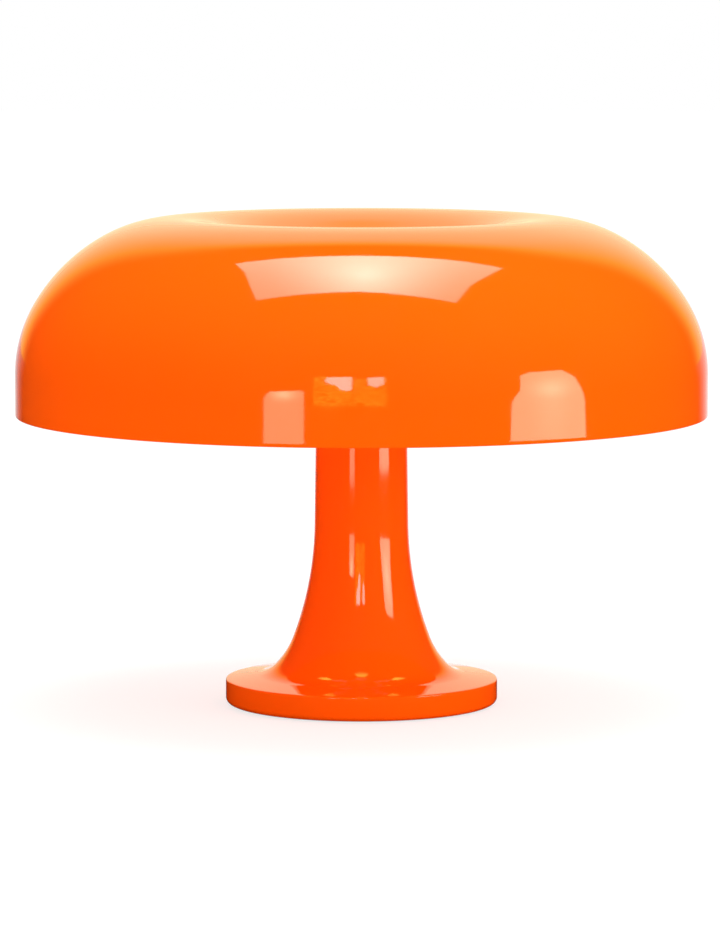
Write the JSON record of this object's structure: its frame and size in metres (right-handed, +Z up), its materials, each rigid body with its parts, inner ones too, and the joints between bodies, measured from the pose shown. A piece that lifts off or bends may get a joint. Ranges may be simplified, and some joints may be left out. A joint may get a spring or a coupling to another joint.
{
  "type": "mushroom table lamp",
  "caption": "Glossy mushroom table lamp: a wide domed shade with a dished top over a trumpet-shaped column and a round foot, with radial ball bulbs inside.",
  "frame": {"origin": "centre of the foot's underside, on the surface that the lamp stands on", "axes": "+Z up along the column's axis, -Y towards the picture's viewer, +Y towards the cord inlet"},
  "size_m": [0.32, 0.32, 0.226],
  "materials": {
    "shade_orange": "high gloss, injection moulded",
    "column_orange": "high gloss, injection moulded",
    "cover_steel": "black powder coat",
    "screw_steel": "zinc plated",
    "tube_steel": "zinc plated, threaded",
    "felt": "pressed felt",
    "cast_iron": "rough cast",
    "bush_rubber": "matt",
    "ring_silicone": "translucent silicone",
    "white_plastic": "satin, moulded",
    "block_plastic": "satin, moulded",
    "holder_plastic": "satin, moulded thermoset",
    "shell_brass": "drawn brass",
    "contact_bronze": "spring bronze",
    "lead_insulation": "smooth sleeve",
    "cap_metal": "nickel plated",
    "tip_metal": "soldered",
    "opal_glass": "opal, satin"
  },
  "bodies": {
    "lamp_body": {"column_foot": "column_orange", "base_cover": "cover_steel", "cover_screws": "screw_steel", "foot_felt": "felt", "ballast": "cast_iron", "cord_bush": "bush_rubber", "stem_nipple": "tube_steel", "stem_washers": "screw_steel", "stem_nuts": "tube_steel", "lamp_hub": "white_plastic", "hub_cap": "white_plastic", "cap_screws": "screw_steel", "seat_ring": "ring_silicone", "terminal_block": "block_plastic", "terminal_screws": "screw_steel", "block_screw": "screw_steel", "holder_leads": "lead_insulation", "holder_nuts": "tube_steel", "holder_nipple_1": "tube_steel", "holder_nipple_2": "tube_steel", "holder_nipple_3": "tube_steel", "holder_nipple_4": "tube_steel", "lampholder_1": "holder_plastic", "lampholder_2": "holder_plastic", "lampholder_3": "holder_plastic", "lampholder_4": "holder_plastic", "thread_shell_1": "shell_brass", "thread_shell_2": "shell_brass", "thread_shell_3": "shell_brass", "thread_shell_4": "shell_brass", "center_contact_1": "contact_bronze", "center_contact_2": "contact_bronze", "center_contact_3": "contact_bronze", "center_contact_4": "contact_bronze"},
    "shade": {"shade": "shade_orange"},
    "bulb_1": {"bulb_glass_1": "opal_glass", "bulb_cap_1": "cap_metal", "bulb_tip_1": "tip_metal"},
    "bulb_2": {"bulb_glass_2": "opal_glass", "bulb_cap_2": "cap_metal", "bulb_tip_2": "tip_metal"},
    "bulb_3": {"bulb_glass_3": "opal_glass", "bulb_cap_3": "cap_metal", "bulb_tip_3": "tip_metal"},
    "bulb_4": {"bulb_glass_4": "opal_glass", "bulb_cap_4": "cap_metal", "bulb_tip_4": "tip_metal"}
  },
  "joints": [
    {"name": "shade_lift", "type": "slide", "parent": "lamp_body", "child": "shade", "axis": [0, 0, 1], "range_m": [0, 0.09]},
    {"name": "bulb_1_pull", "type": "slide", "parent": "lamp_body", "child": "bulb_1", "axis": [1, 0, 0], "range_m": [0, 0.022]},
    {"name": "bulb_2_pull", "type": "slide", "parent": "lamp_body", "child": "bulb_2", "axis": [0, 1, 0], "range_m": [0, 0.022]},
    {"name": "bulb_3_pull", "type": "slide", "parent": "lamp_body", "child": "bulb_3", "axis": [-1, 0, 0], "range_m": [0, 0.022]},
    {"name": "bulb_4_pull", "type": "slide", "parent": "lamp_body", "child": "bulb_4", "axis": [0, -1, 0], "range_m": [0, 0.022]}
  ]
}
